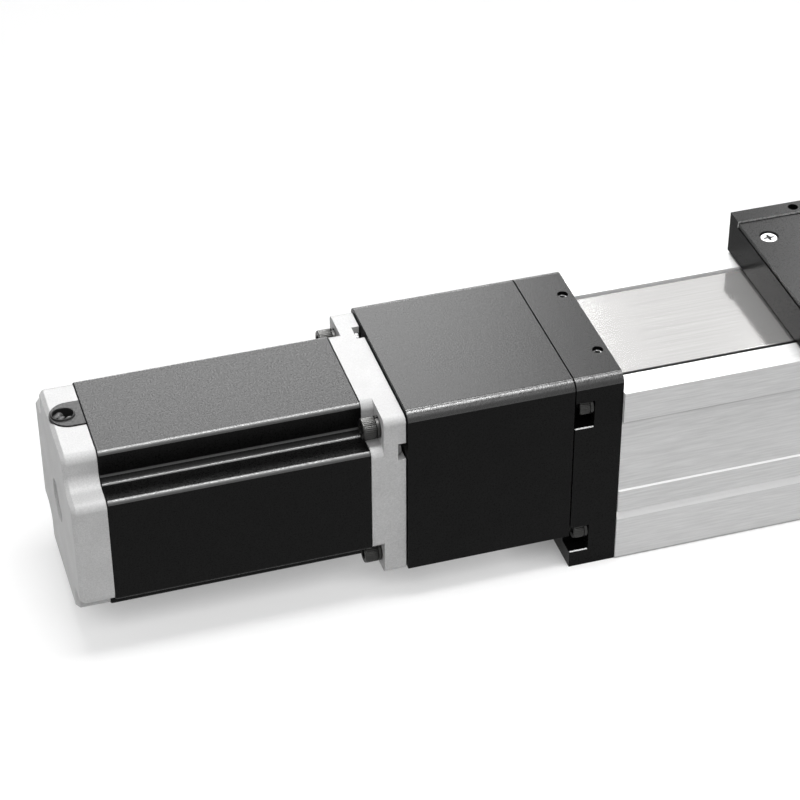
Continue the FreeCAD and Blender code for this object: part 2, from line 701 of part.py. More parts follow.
def coupling_hub(x_back, x_face, bore, first_angle):
    """One hub: a slit sleeve with jaws that reach over its face into the star."""
    outward = 1 if x_face > x_back else -1
    hub = tube(min(x_back, x_face), max(x_back, x_face), bore, COUPLING_RADIUS)
    tip = x_face + outward * JAW_LENGTH
    jaws = []
    for index in range(JAW_COUNT):
        middle = first_angle + index * 360 / JAW_COUNT
        jaws.append(sector(min(x_face, tip), max(x_face, tip), JAW_INNER_RADIUS, COUPLING_RADIUS,
                           JAW_HALF_ANGLE, middle))
    slit_x = x_back + outward * HUB_SLIT_LENGTH
    slit = box(x_back, slit_x, -HUB_SLIT / 2, HUB_SLIT / 2, AXIS_HEIGHT, AXIS_HEIGHT + COUPLING_RADIUS)
    return fuse([hub] + jaws).cut(slit)


def coupling_faces():
    """Back and face of each hub along X."""
    motor_back = X_FLANGE + COUPLING_START
    motor_face = motor_back + HUB_LENGTH
    screw_face = motor_face + JAW_LENGTH + 2 * SPIDER_END_GAP
    return motor_back, motor_face, screw_face, screw_face + HUB_LENGTH


def motor_coupling_hub():
    back, face, _, _ = coupling_faces()
    return coupling_hub(back, face, MOTOR_SHAFT_RADIUS, 0)


def screw_coupling_hub():
    _, _, face, back = coupling_faces()
    return coupling_hub(back, face, COUPLING_JOURNAL_RADIUS, 180 / JAW_COUNT)


def coupling_spider():
    """The rubber star between the jaws: a ring with a lobe in each space."""
    _, motor_face, screw_face, _ = coupling_faces()
    start = motor_face + SPIDER_END_GAP
    end = screw_face - SPIDER_END_GAP
    pieces = [tube(start, end, SPIDER_BORE_RADIUS, JAW_INNER_RADIUS - SEAT_GAP)]
    for index in range(2 * JAW_COUNT):
        middle = (index + 0.5) * 180 / JAW_COUNT
        pieces.append(sector(start, end, SPIDER_BORE_RADIUS, COUPLING_RADIUS - SLIDE_GAP,
                             SPIDER_HALF_ANGLE, middle))
    return fuse(pieces)


# Carriage
def slide_table():
    """The table: raised side bands, a bed for the cover plate, a pocket, and seats underneath."""
    half = TABLE_LENGTH / 2
    side = MODULE_WIDTH / 2
    inner = side - BAND_WIDTH
    table = box(X_TABLE - half, X_TABLE + half, -side, side, TABLE_BOTTOM, TABLE_TOP)
    pocket_x = TABLE_POCKET_LENGTH / 2
    pocket_y = TABLE_POCKET_WIDTH / 2
    plate_x = SIDE_PLATE_LENGTH / 2 + HOLE_GAP
    flange_y = SIDE_PLATE_Y + SIDE_FLANGE_WIDTH + HOLE_GAP
    floor = TABLE_BOTTOM + TABLE_FLOOR
    cuts = [
        box(X_TABLE - half, X_TABLE + half, -inner, inner, COVER_PLATE_BOTTOM, TABLE_TOP),
        box(X_TABLE - pocket_x, X_TABLE + pocket_x, -pocket_y, pocket_y, floor, TABLE_TOP),
    ]
    seat = box(X_TABLE - plate_x, X_TABLE + plate_x, SIDE_PLATE_Y - HOLE_GAP, flange_y,
               TABLE_BOTTOM, SIDE_PLATE_TOP)
    cuts.extend(both_sides(seat))
    for wiper_in, wiper_out in wiper_ends():
        cuts.append(box(wiper_in, wiper_out, -WIPER_HALF_WIDTH, WIPER_HALF_WIDTH,
                        TABLE_BOTTOM, TABLE_BOTTOM + WIPER_SOCKET))
    for x in (X_TABLE - TABLE_HOLE_X, X_TABLE + TABLE_HOLE_X):
        for y in (-TABLE_HOLE_Y, TABLE_HOLE_Y):
            low = Vector(x, y, TABLE_TOP - TABLE_HOLE_DEPTH)
            cuts.append(Part.makeCylinder(TABLE_HOLE_RADIUS, TABLE_HOLE_DEPTH, low))
    return table.cut(cuts)


def wiper_ends():
    """Inner and outer x of each wiper."""
    ends = []
    for sign in (-1, 1):
        outer = X_TABLE + sign * (TABLE_LENGTH / 2 - WIPER_INSET)
        ends.append((outer - sign * WIPER_THICKNESS, outer))
    return ends


def strip_wipers():
    wipers = []
    for wiper_in, wiper_out in wiper_ends():
        wipers.append(box(wiper_in, wiper_out, -WIPER_HALF_WIDTH, WIPER_HALF_WIDTH,
                          STRIP_TOP + SLIDE_GAP, TABLE_BOTTOM + WIPER_SOCKET))
    return group(wipers)


def cover_screw_places():
    reach = TABLE_LENGTH / 2 - COVER_SCREW_INSET
    return [(X_TABLE + x, y) for x in (-reach, reach) for y in (-SCREW_LINE_Y, SCREW_LINE_Y)]


def table_cover_plate():
    """A plate between the side bands, sunk for four flat-headed screws."""
    half = TABLE_LENGTH / 2
    inner = MODULE_WIDTH / 2 - BAND_WIDTH - SEAT_GAP
    plate = box(X_TABLE - half, X_TABLE + half, -inner, inner, COVER_PLATE_BOTTOM, COVER_PLATE_TOP)
    sinks = []
    for x, y in cover_screw_places():
        low = Vector(x, y, COVER_PLATE_BOTTOM)
        sinks.append(Part.makeCone(COVER_SINK_FOOT, COVER_SINK_RADIUS, COVER_PLATE_THICKNESS, low))
    return plate.cut(sinks)


def side_plates():
    """Steel angle plates: a leg down through the slot and a flange under the table."""
    half = SIDE_PLATE_LENGTH / 2
    inner = SIDE_PLATE_Y
    outer = inner + SIDE_PLATE_THICKNESS
    under = SIDE_PLATE_TOP - SIDE_PLATE_THICKNESS
    outline = [
        (inner, SADDLE_FLOOR + SIDE_PLATE_FOOT, 0),
        (outer, SADDLE_FLOOR + SIDE_PLATE_FOOT, 0),
        (outer, under, 0),
        (inner + SIDE_FLANGE_WIDTH, under, 0),
        (inner + SIDE_FLANGE_WIDTH, SIDE_PLATE_TOP, 0),
        (inner, SIDE_PLATE_TOP, SIDE_PLATE_THICKNESS),
    ]
    return group(both_sides(prism(outline, X_TABLE - half, X_TABLE + half)))


def guide_piece(x0, x1, step):
    """A length of guide block about the rail, with its outside stepped in."""
    side = GUIDE_WIDTH / 2 - step
    low = FLOOR_TOP + GUIDE_UNDERSIDE + step
    piece = box(x0, x1, -side, side, low, GUIDE_FACE - step)
    return piece.cut(prism(rail_section(SLIDE_GAP), x0, x1, FLOOR_TOP))


def at_guides(pieces):
    """Copies of the pieces at the four guide blocks' places."""
    copies = []
    for x in (X_TABLE - GUIDE_REACH, X_TABLE + GUIDE_REACH):
        for y in (-RAIL_Y, RAIL_Y):
            copies.extend(place(piece, Vector(x, y, 0), Z_AXIS) for piece in pieces)
    return group(copies)


def guide_blocks():
    body = GUIDE_LENGTH / 2 - END_CAP_LENGTH
    return at_guides([guide_piece(-body, body, 0)])


def guide_end_caps():
    end = GUIDE_LENGTH / 2
    body = end - END_CAP_LENGTH
    return at_guides([guide_piece(-end, -body, END_CAP_STEP), guide_piece(body, end, END_CAP_STEP)])


def saddle():
    """A base on the guide blocks, two side walls for the plates and a bored boss for the nut."""
    half = SADDLE_LENGTH / 2
    side = CAVITY_WIDTH / 2 - SADDLE_SIDE_GAP
    boss_end = X_NUT_SEAT + SADDLE_BOSS_LENGTH
    wall = box(X_TABLE - half, X_TABLE + half, SADDLE_WALL_IN, SIDE_PLATE_Y, SADDLE_FLOOR, SADDLE_TOP)
    pieces = [
        box(X_TABLE - half, X_TABLE + half, -side, side, GUIDE_FACE, SADDLE_FLOOR),
        box(X_NUT_SEAT, boss_end, -SADDLE_WALL_IN, SADDLE_WALL_IN, SADDLE_FLOOR, SADDLE_TOP),
    ]
    cuts = [
        cylinder(X_NUT_SEAT, boss_end, NUT_BODY_RADIUS + HOLE_GAP),
        box(X_NUT_FLANGE - SLIDE_GAP, X_NUT_SEAT, -SADDLE_WALL_IN, SADDLE_WALL_IN, GUIDE_FACE, SADDLE_FLOOR),
        cylinder(X_TABLE - half, X_TABLE + half, SCREW_RADIUS + SADDLE_SCREW_GAP),
    ]
    return fuse(pieces + both_sides(wall)).cut(cuts)


def ball_nut():
    """A round nut whose flange has two flats."""
    flange = cylinder(X_NUT_FLANGE, X_NUT_SEAT, NUT_FLANGE_RADIUS)
    half_height = NUT_FLANGE_RADIUS - NUT_FLAT_DEPTH
    flats = box(X_NUT_FLANGE, X_NUT_SEAT, -NUT_FLANGE_RADIUS, NUT_FLANGE_RADIUS,
                AXIS_HEIGHT - half_height, AXIS_HEIGHT + half_height)
    end = X_NUT_SEAT + NUT_BODY_LENGTH
    nut = fuse([flange.common(flats), cylinder(X_NUT_SEAT, end, NUT_BODY_RADIUS)])
    return nut.cut(cylinder(X_NUT_FLANGE, end, SCREW_RADIUS + RUNNING_GAP))


def sub_parts():
    """Every sub-part by name."""
    return {
        "base_profile": base_profile(),
        "cover_strip": cover_strip(),
        "drive_end_block": drive_end_block(),
        "far_end_block": far_end_block(),
        "coupling_housing": coupling_housing(),
        "end_bumpers": end_bumpers(),
        "guide_rails": guide_rails(),
        "bearing_outer_rings": bearing_outer_rings(),
        "bearing_retainer": bearing_retainer(),
        "motor_front_flange": motor_front_flange(),
        "motor_stator": motor_stator(),
        "motor_rear_cap": motor_rear_cap(),
        "wire_grommet": wire_grommet(),
        "motor_bolts": motor_bolts(),
        "motor_shaft": motor_shaft(),
        "motor_coupling_hub": motor_coupling_hub(),
        "screw_coupling_hub": screw_coupling_hub(),
        "coupling_spider": coupling_spider(),
        "ball_screw": ball_screw(),
        "lock_nut": lock_nut(),
        "bearing_inner_rings": bearing_inner_rings(),
        "slide_table": slide_table(),
        "table_cover_plate": table_cover_plate(),
        "strip_wipers": strip_wipers(),
        "side_plates": side_plates(),
        "saddle": saddle(),
        "guide_blocks": guide_blocks(),
        "guide_end_caps": guide_end_caps(),
        "ball_nut": ball_nut(),
    }


def main():
    os.makedirs("parts", exist_ok=True)
    for name, shape in sub_parts().items():
        shape.exportStep("parts/" + name + ".step")


main()
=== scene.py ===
"""Looks of the ball screw linear module: finishes, fasteners, grommet, studio and camera."""
import json
import math

import bmesh
import bpy
import numpy as np
from mathutils import Matrix, Vector


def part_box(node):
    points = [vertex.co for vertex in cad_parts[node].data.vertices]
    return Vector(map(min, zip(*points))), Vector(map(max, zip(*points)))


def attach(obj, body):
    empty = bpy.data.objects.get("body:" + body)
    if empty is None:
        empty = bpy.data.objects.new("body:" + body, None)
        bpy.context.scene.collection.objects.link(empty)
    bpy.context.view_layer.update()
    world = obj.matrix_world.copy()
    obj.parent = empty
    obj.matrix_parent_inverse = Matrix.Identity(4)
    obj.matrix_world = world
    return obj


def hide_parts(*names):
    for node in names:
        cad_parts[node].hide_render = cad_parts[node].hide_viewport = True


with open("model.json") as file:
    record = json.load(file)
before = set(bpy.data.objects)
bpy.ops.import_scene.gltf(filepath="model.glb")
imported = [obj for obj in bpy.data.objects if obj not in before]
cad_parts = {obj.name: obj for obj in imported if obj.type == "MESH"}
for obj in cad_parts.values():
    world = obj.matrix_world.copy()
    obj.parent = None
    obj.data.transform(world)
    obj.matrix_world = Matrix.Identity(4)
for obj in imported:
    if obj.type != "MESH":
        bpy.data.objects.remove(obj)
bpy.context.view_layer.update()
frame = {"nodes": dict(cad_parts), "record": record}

MM = 0.001
NODES = frame["nodes"]

# Places read from the frame
FLANGE_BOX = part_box("motor_front_flange")
HOUSING_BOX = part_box("coupling_housing")
BLOCK_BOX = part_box("drive_end_block")
FAR_BLOCK_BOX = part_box("far_end_block")
PROFILE_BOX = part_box("base_profile")
TABLE_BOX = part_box("slide_table")
COVER_PLATE_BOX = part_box("table_cover_plate")
GROMMET_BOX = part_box("wire_grommet")
SCREW_AXIS_Z = (FLANGE_BOX[0].z + FLANGE_BOX[1].z) / 2
TABLE_X = (TABLE_BOX[0].x + TABLE_BOX[1].x) / 2

# Fasteners, millimetres: shank radius, head radius, head height, socket width
M5 = (2.5, 4.25, 5.0, 4.0)
M6 = (3.0, 5.0, 6.2, 5.0)
SPRING_WASHER = 1.8

# The motor's ears, bolts and pockets, millimetres
PILOT_LENGTH = 2.0
EAR_THICKNESS = 10.0
BOLT_OFFSET = 34.8
BOLT_LENGTH = 25.0
FLANGE_POCKET_DEPTH = 3.6
FLANGE_SCREW_NEAR = 25.0
FLANGE_SCREW_FAR = 38.85

# The end blocks' side pockets and top holes, millimetres
PORT_Y = 40.0
PORT_HEIGHTS = (18.4, 89.4)
SIDE_POCKET_LENGTH = 9.0
SIDE_POCKET_HEIGHT = 14.5
POCKET_MIDDLES = (15.75, 86.75)
TOP_HOLE_Y = 22.9
TOP_HOLE_X = 4.7
SET_SCREW_SINK = 1.5

# The cover plate's screws, millimetres
COVER_SCREW_INSET = 9.4
COVER_SCREW_Y = 22.9
COVER_SCREW_SINK = 0.65
COVER_SCREW_RADIUS = 3.85
RECESS_RADIUS = 2.7
RECESS_START = 0.22

# The grommet's mouth, millimetres
GROMMET_LIP = 1.4
MOUTH_HALF_LENGTH = 4.6
MOUTH_HALF_WIDTH = 3.6
MOUTH_SHIFT = 3.2
LIP_SINK = 1.75

# Painted shade in a thin line below each step of the profile and along its foot, millimetres:
# the steps' heights, then the offset and the tone of each stop across one line, and the height
# that the whole ramp spans
PROFILE_SHADE_CREASES = (0.9, 28.0, 80.0)
CREASE_SHADE_STOPS = ((-1.9, 1.0), (-0.855, 0.52), (0.02, 0.52), (0.05, 1.0))
CREASE_SHADE_SPAN = 100.0


# Surfaces worked out as whole arrays
def grid_faces(rows, columns, offset):
    """Quads of a grid whose points run row by row."""
    row = np.arange(rows - 1)[:, None] * columns
    column = np.arange(columns - 1)[None, :]
    first = (row + column + offset).reshape(-1)
    return np.stack([first, first + 1, first + columns + 1, first + columns], axis=1)


def surface(name, grids, body, material, smooth_angle=40.0, replaces=()):
    """One piece from grids of points, each an array of rows by columns by 3, in metres.

    Points that meet at seams and poles are merged, and the faces are turned outwards.
    """
    points = np.concatenate([grid.reshape(-1, 3) for grid in grids])
    offsets = np.cumsum([0] + [grid.shape[0] * grid.shape[1] for grid in grids[:-1]])
    faces = np.concatenate([
        grid_faces(grid.shape[0], grid.shape[1], int(offset))
        for grid, offset in zip(grids, offsets)
    ])
    mesh = bpy.data.meshes.new(name)
    mesh.from_pydata(points.tolist(), [], faces.tolist())
    work = bmesh.new()
    work.from_mesh(mesh)
    bmesh.ops.remove_doubles(work, verts=work.verts, dist=1e-7)
    bmesh.ops.dissolve_degenerate(work, edges=work.edges, dist=1e-8)
    bmesh.ops.recalc_face_normals(work, faces=work.faces)
    work.to_mesh(mesh)
    work.free()
    mesh.polygons.foreach_set("use_smooth", np.ones(len(mesh.polygons), dtype=bool))
    mesh.set_sharp_from_angle(angle=math.radians(smooth_angle))
    mesh.materials.append(material)
    piece = bpy.data.objects.new(name, mesh)
    bpy.context.scene.collection.objects.link(piece)
    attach(piece, body)
    if replaces:
        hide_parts(*replaces)
    return piece


def placed(grid, position, direction):
    """A grid made around +Z at the origin in millimetres, turned to a direction, in metres."""
    turn = np.array(Vector((0, 0, 1)).rotation_difference(Vector(direction)).to_matrix())
    return (grid @ turn.T + np.array(position)) * MM


def hexagon(angle, across):
    """Radius of a hexagon at each angle: half its width over the cosine to the nearest side."""
    to_side = (angle + math.pi / 6) % (math.pi / 3) - math.pi / 6
    return across / 2 / np.cos(to_side)


def turned(stations, segments, across=0.0, knurls=0, knurl_depth=0.0):
    """A profile carried round +Z.

    Each station is (height, radius, hexagon share, knurl share). The radius blends from a circle
    to a hexagon by the share, and knurls press a wave of the given depth into it.
    """
    table = np.array(stations, float)
    angle = np.linspace(0, 2 * math.pi, segments + 1)
    height = table[:, 0:1] + 0 * angle
    circle = table[:, 1:2] + 0 * angle
    share = table[:, 2:3]
    radius = circle * (1 - share) + hexagon(angle, across) * share if across else circle
    if knurls:
        wave = np.abs(np.sin(angle * knurls / 2))
        radius = radius - table[:, 3:4] * knurl_depth * (1 - wave)
    return np.stack([radius * np.cos(angle), radius * np.sin(angle), height], axis=-1)


def socket_screw(size, length, knurls=36):
    """Profile of a socket screw: knurled head, chamfered rims, hexagon socket, shank."""
    shank, head, height, across = size
    rim = 0.35
    depth = height * 0.55
    corner = across / math.sqrt(3)
    stations = [
        (-length, 0, 0, 0),
        (-length, shank - 0.5, 0, 0),
        (-length + 0.5, shank, 0, 0),
        (-0.2, shank, 0, 0),
        (0, head - 0.3, 0, 0),
        (0.3, head, 0, 1),
        (height - 0.9, head, 0, 1),
        (height - 0.75, head - 0.12, 0, 0),
        (height - rim, head - 0.12, 0, 0),
        (height - 0.08, head - rim, 0, 0),
        (height, head - rim - 0.3, 0, 0),
        (height, corner + 0.25, 0, 0),
        (height - 0.3, 0, 1, 0),
        (height - depth, 0, 1, 0),
        (height - depth - 0.6, 0, 0, 0),
    ]
    return turned(stations, knurls * 4, across, knurls, 0.22)


def spring_washer_grid(inner, outer, thickness, split=12.0, rise=0.35):
    """A square wire carried once round in a slight helix, leaving a slanted split."""
    turn = np.radians(np.linspace(split / 2, 360 - split / 2, 73))
    climb = rise * (np.linspace(0, 1, 73) - 0.5)
    edge = 0.12
    section = np.array([
        (inner + edge, 0), (outer - edge, 0), (outer, edge), (outer, thickness - edge),
        (outer - edge, thickness), (inner + edge, thickness), (inner, thickness - edge),
        (inner, edge), (inner + edge, 0),
    ])
    radius = section[:, 0][None, :] + 0 * turn[:, None]
    height = section[:, 1][None, :] * (1 - rise / thickness) + (climb + rise / 2)[:, None]
    across = radius * np.cos(turn)[:, None]
    along = radius * np.sin(turn)[:, None]
    ring = np.stack([across, along, height], axis=-1)
    middle = ring[:, :-1].mean(axis=1, keepdims=True)
    first = np.repeat(middle[:1], ring.shape[1], axis=1)
    last = np.repeat(middle[-1:], ring.shape[1], axis=1)
    return np.concatenate([first, ring, last], axis=0)


def cross_recess_head(radius, height, rim, shank, length):
    """A countersunk head whose face is a height field over the polar plane.

    The recess depth falls off from the centre and across each of four tapered arms.
    """
    segments = 96
    angle = np.linspace(0, 2 * math.pi, segments + 1)
    reach = np.linspace(1, 0, 40)[:, None] * (radius - 0.15)
    across = reach * np.cos(angle)
    along = reach * np.sin(angle)
    arm = np.minimum(np.abs(across), np.abs(along))
    run = np.maximum(np.abs(across), np.abs(along))
    half_width = 0.70 - 0.1 * run
    inside = 1 / (1 + np.exp((arm - half_width) * 26))
    ends = 1 / (1 + np.exp((run - radius * 0.64) * 22))
    core = 1 / (1 + np.exp((np.hypot(across, along) - radius * 0.28) * 14))
    depth = np.maximum(inside * ends * (1.5 - 0.5 * run / radius), core * 1.7)
    dome = 0.12 * (1 - (reach / radius) ** 2)
    face = np.stack([across, along, dome - depth + 0 * angle], axis=-1)
    below = turned([
        (-length, 0, 0, 0), (-length, shank - 0.3, 0, 0), (-length + 0.3, shank, 0, 0),
        (-height, shank, 0, 0), (-rim, radius, 0, 0), (-0.15, radius, 0, 0),
    ], segments)
    return np.concatenate([below, face], axis=0)


# Finishes
def new_material(name):
    """A node material, its nodes, its links and its shader."""
    material = bpy.data.materials.new(name)
    material.use_nodes = True
    nodes = material.node_tree.nodes
    shader = nodes["Principled BSDF"]
    return material, nodes, material.node_tree.links, shader


def object_coordinates(nodes, links, scale=(1, 1, 1), turn=(0, 0, 0)):
    """Object coordinates through a Mapping node."""
    coordinates = nodes.new("ShaderNodeTexCoord")
    mapping = nodes.new("ShaderNodeMapping")
    mapping.inputs["Scale"].default_value = scale
    mapping.inputs["Rotation"].default_value = turn
    links.new(coordinates.outputs["Object"], mapping.inputs["Vector"])
    return mapping.outputs["Vector"]


def noise(nodes, links, vector, scale, detail=3.0, roughness=0.55, distortion=0.0):
    """A noise pattern at a place vector."""
    texture = nodes.new("ShaderNodeTexNoise")
    texture.inputs["Scale"].default_value = scale
    texture.inputs["Detail"].default_value = detail
    texture.inputs["Roughness"].default_value = roughness
    texture.inputs["Distortion"].default_value = distortion
    links.new(vector, texture.inputs["Vector"])
    return texture.outputs["Fac"]


def spread(nodes, links, value, low, high, start=0.3, end=0.7):
    """A value mapped to a range."""
    mapping = nodes.new("ShaderNodeMapRange")
    mapping.inputs["From Min"].default_value = start
    mapping.inputs["From Max"].default_value = end
    mapping.inputs["To Min"].default_value = low
    mapping.inputs["To Max"].default_value = high
    links.new(value, mapping.inputs["Value"])
    return mapping.outputs["Result"]


def tones(nodes, links, value, dark, light):
    """A value turned to a colour between two tones."""
    ramp = nodes.new("ShaderNodeValToRGB")
    ramp.color_ramp.elements[0].position = 0.3
    ramp.color_ramp.elements[0].color = (*dark, 1)
    ramp.color_ramp.elements[1].position = 0.7
    ramp.color_ramp.elements[1].color = (*light, 1)
    links.new(value, ramp.inputs["Fac"])
    return ramp.outputs["Color"]


def bump(nodes, links, shader, height, distance, normal=None):
    """A bump of one height pattern, in metres, on top of another bump's normal."""
    node = nodes.new("ShaderNodeBump")
    node.inputs["Distance"].default_value = distance
    links.new(height, node.inputs["Height"])
    if normal is not None:
        links.new(normal, node.inputs["Normal"])
    links.new(node.outputs["Normal"], shader.inputs["Normal"])
    return node.outputs["Normal"]


def mixed(nodes, links, share, first, second):
    """One colour over another by a share."""
    mix = nodes.new("ShaderNodeMix")
    mix.data_type = "RGBA"
    links.new(share, mix.inputs["Factor"])
    links.new(first, mix.inputs["A"])
    links.new(second, mix.inputs["B"])
    return mix.outputs["Result"]


def multiplied(nodes, links, first, second):
    """One colour times another."""
    mix = nodes.new("ShaderNodeMix")
    mix.data_type = "RGBA"
    mix.blend_type = "MULTIPLY"
    mix.inputs["Factor"].default_value = 1.0
    links.new(first, mix.inputs["A"])
    links.new(second, mix.inputs["B"])
    return mix.outputs["Result"]


def grey(level, warmth=0.0):
    """A grey, a little warmer or cooler."""
    return (level * (1 + warmth), level, level * (1 - warmth))


def blasted_black(name, level, rough, grain, depth, specular, worn=0.0):
    """Blasted and anodised black: fine grain in bump and gloss, faint clouds in the tone.

    On edges the worn share lets specks of bare metal through.
    """
    material, nodes, links, shader = new_material(name)
    place = object_coordinates(nodes, links)
    cloud = noise(nodes, links, place, 70.0, 4.0)
    fine = noise(nodes, links, place, grain, 2.0, 0.7)
    coarse = noise(nodes, links, place, grain * 0.35, 2.0, 0.6)
    black = tones(nodes, links, cloud, grey(level * 0.8), grey(level * 1.2))
    shader.inputs["Specular IOR Level"].default_value = specular
    links.new(spread(nodes, links, fine, rough[0], rough[1]), shader.inputs["Roughness"])
    if worn:
        specks = spread(nodes, links, fine, 0.0, 1.0, 0.62 - worn, 0.70 - worn)
        bare = tones(nodes, links, coarse, grey(0.45), grey(0.80))
        links.new(mixed(nodes, links, specks, black, bare), shader.inputs["Base Color"])
        links.new(spread(nodes, links, specks, 0.0, 0.15, 0.0, 1.0), shader.inputs["Metallic"])
    else:
        links.new(black, shader.inputs["Base Color"])
    first = bump(nodes, links, shader, coarse, depth * 1.6)
    bump(nodes, links, shader, fine, depth, first)
    return material


def painted_laminations(name, level, rough, depth, specular):
    """Paint over a stack of laminations: faint rings across X under an orange peel."""
    material, nodes, links, shader = new_material(name)
    ring_place = object_coordinates(nodes, links, (1500, 34, 34))
    streak_place = object_coordinates(nodes, links, (950, 190, 190))
    rings = noise(nodes, links, ring_place, 1.0, 2.0, 0.6, 0.2)
    streaks = noise(nodes, links, streak_place, 1.0, 3.0, 0.65, 0.5)
    peel = noise(nodes, links, object_coordinates(nodes, links), 1400.0, 3.0, 0.7)
    black = tones(nodes, links, streaks, grey(level * 0.7), grey(level * 1.3))
    gloss = spread(nodes, links, peel, rough[0], rough[1], 0.35, 0.65)
    links.new(black, shader.inputs["Base Color"])
    links.new(gloss, shader.inputs["Roughness"])
    shader.inputs["Specular IOR Level"].default_value = specular
    first = bump(nodes, links, shader, peel, depth)
    second = bump(nodes, links, shader, streaks, depth * 0.7, first)
    bump(nodes, links, shader, rings, depth * 0.22, second)
    return material


def bead_blasted(name, dark, light, rough, depth):
    """A bead blasted aluminium casting: small bright and dark specks, and soft clouds."""
    material, nodes, links, shader = new_material(name)
    place = object_coordinates(nodes, links)
    cloud = noise(nodes, links, place, 55.0, 4.0)
    specks = noise(nodes, links, place, 1500.0, 2.0, 0.7)
    pits = noise(nodes, links, place, 430.0, 3.0, 0.6)
    base = tones(nodes, links, cloud, dark, light)
    shade = tones(nodes, links, specks, grey(0.80), grey(1.0))
    links.new(multiplied(nodes, links, base, shade), shader.inputs["Base Color"])
    links.new(spread(nodes, links, specks, rough[0], rough[1]), shader.inputs["Roughness"])
    shader.inputs["Specular IOR Level"].default_value = 0.3
    first = bump(nodes, links, shader, pits, depth * 1.5)
    bump(nodes, links, shader, specks, depth, first)
    return material


def grainy_finish(name, dark, light, metallic, rough, grain, depth, blotch=60.0, specular=0.5):
    """A fine grained finish: colour blotches, uneven gloss and a small bump of one grain size."""
    material, nodes, links, shader = new_material(name)
    place = object_coordinates(nodes, links)
    cloud = noise(nodes, links, place, blotch, 4.0)
    fine = noise(nodes, links, place, grain, 2.0, 0.6)
    links.new(tones(nodes, links, cloud, dark, light), shader.inputs["Base Color"])
    links.new(spread(nodes, links, fine, rough[0], rough[1]), shader.inputs["Roughness"])
    shader.inputs["Metallic"].default_value = metallic
    shader.inputs["Specular IOR Level"].default_value = specular
    bump(nodes, links, shader, fine, depth)
    return material


def crease_painted_shade(nodes, links, shade_creases, colour):
    """A colour darkened in a thin line at the foot of each step, told by the height on Object Z.

    The line is painted shade below each step and along the profile's foot.
    """
    place = nodes.new("ShaderNodeSeparateXYZ")
    links.new(object_coordinates(nodes, links), place.inputs["Vector"])
    ramp = nodes.new("ShaderNodeValToRGB")
    stops = ramp.color_ramp.elements
    stops[0].color = (1, 1, 1, 1)
    stops[1].color = (1, 1, 1, 1)
    for height in shade_creases:
        for offset, level in CREASE_SHADE_STOPS:
            stop = stops.new(max(height + offset, 0) / CREASE_SHADE_SPAN)
            stop.color = (level, level, level, 1)
    share = spread(nodes, links, place.outputs["Z"], 0, 1, 0, CREASE_SHADE_SPAN * MM)
    links.new(share, ramp.inputs["Fac"])
    return multiplied(nodes, links, colour, ramp.outputs["Color"])


def brushed_finish(name, dark, light, rough, across, along, depth, metallic=1.0, shade_creases=()):
    """Metal brushed along X: noise stretched along the strokes tints, roughens and scores it."""
    material, nodes, links, shader = new_material(name)
    strokes = object_coordinates(nodes, links, (along, across, across))
    long_strokes = object_coordinates(nodes, links, (along * 0.35, across * 0.45, across * 0.45))
    fine = noise(nodes, links, strokes, 1.0, 3.0, 0.65)
    broad = noise(nodes, links, long_strokes, 1.0, 3.0, 0.6)
    colour = tones(nodes, links, broad, dark, light)
    # Painted shade in a thin line at the foot of each step
    if shade_creases:
        colour = crease_painted_shade(nodes, links, shade_creases, colour)
    links.new(colour, shader.inputs["Base Color"])
    links.new(spread(nodes, links, fine, rough[0], rough[1]), shader.inputs["Roughness"])
    shader.inputs["Metallic"].default_value = metallic
    first = bump(nodes, links, shader, broad, depth * 1.2)
    bump(nodes, links, shader, fine, depth, first)
    return material


def plain_metal(name, tone, rough, grain=900.0, depth=4e-6):
    """Machined or ground metal with faint marks."""
    dark = tuple(0.86 * part for part in tone)
    return grainy_finish(name, dark, tone, 1.0, rough, grain, depth, 120.0)


FINISH = {
    "black_anodised": blasted_black("black_anodised", 0.004, (0.24, 0.34), 1500.0, 1.6e-5, 0.07),
    "black_painted_steel": painted_laminations(
        "black_painted_steel", 0.004, (0.20, 0.46), 5.0e-5, 0.07),
    "blasted_casting": bead_blasted(
        "blasted_casting", grey(0.60), grey(0.67), (0.42, 0.66), 4.2e-5),
    "black_rubber": grainy_finish(
        "black_rubber", grey(0.012), grey(0.026), 0.0, (0.34, 0.60), 1200.0, 2.0e-5, 60.0, 0.10),
    "black_plastic": grainy_finish(
        "black_plastic", grey(0.014), grey(0.026), 0.0, (0.30, 0.50), 1100.0, 1.2e-5),
    "red_rubber": grainy_finish(
        "red_rubber", (0.40, 0.030, 0.02), (0.52, 0.045, 0.03), 0.0, (0.40, 0.60), 900.0, 1.0e-5),
    "dark_steel": plain_metal("dark_steel", (0.16, 0.16, 0.16), (0.28, 0.50), 1500.0, 1.0e-5),
    "ground_steel": plain_metal("ground_steel", (0.62, 0.63, 0.64), (0.20, 0.36)),
    "machined_aluminium": plain_metal("machined_aluminium", (0.80, 0.80, 0.80), (0.26, 0.42)),
    # The profile's aluminium, with painted shade at the foot of its steps
    "brushed_aluminium": brushed_finish(
        "brushed_aluminium", grey(0.65), grey(0.79), (0.34, 0.52), 2400.0, 170.0, 1.3e-5, 0.12,
        PROFILE_SHADE_CREASES),
}
# Lighter, glossier black on the long rounds: a painted highlight along their crests
ROUND_HIGHLIGHT_FINISH = blasted_black("black_anodised_round_highlight", 0.012, (0.20, 0.38), 1700.0, 5.0e-5, 0.6)
# Lighter, glossier paint on the stator's upper edges and fillets: a painted highlight
STATOR_HIGHLIGHT_FINISH = painted_laminations("black_painted_highlight", 0.018, (0.30, 0.52), 6.0e-5, 0.8)
END_FACE_FINISH = blasted_black("black_anodised_end", 0.008, (0.24, 0.34), 1500.0, 9e-6, 0.02)
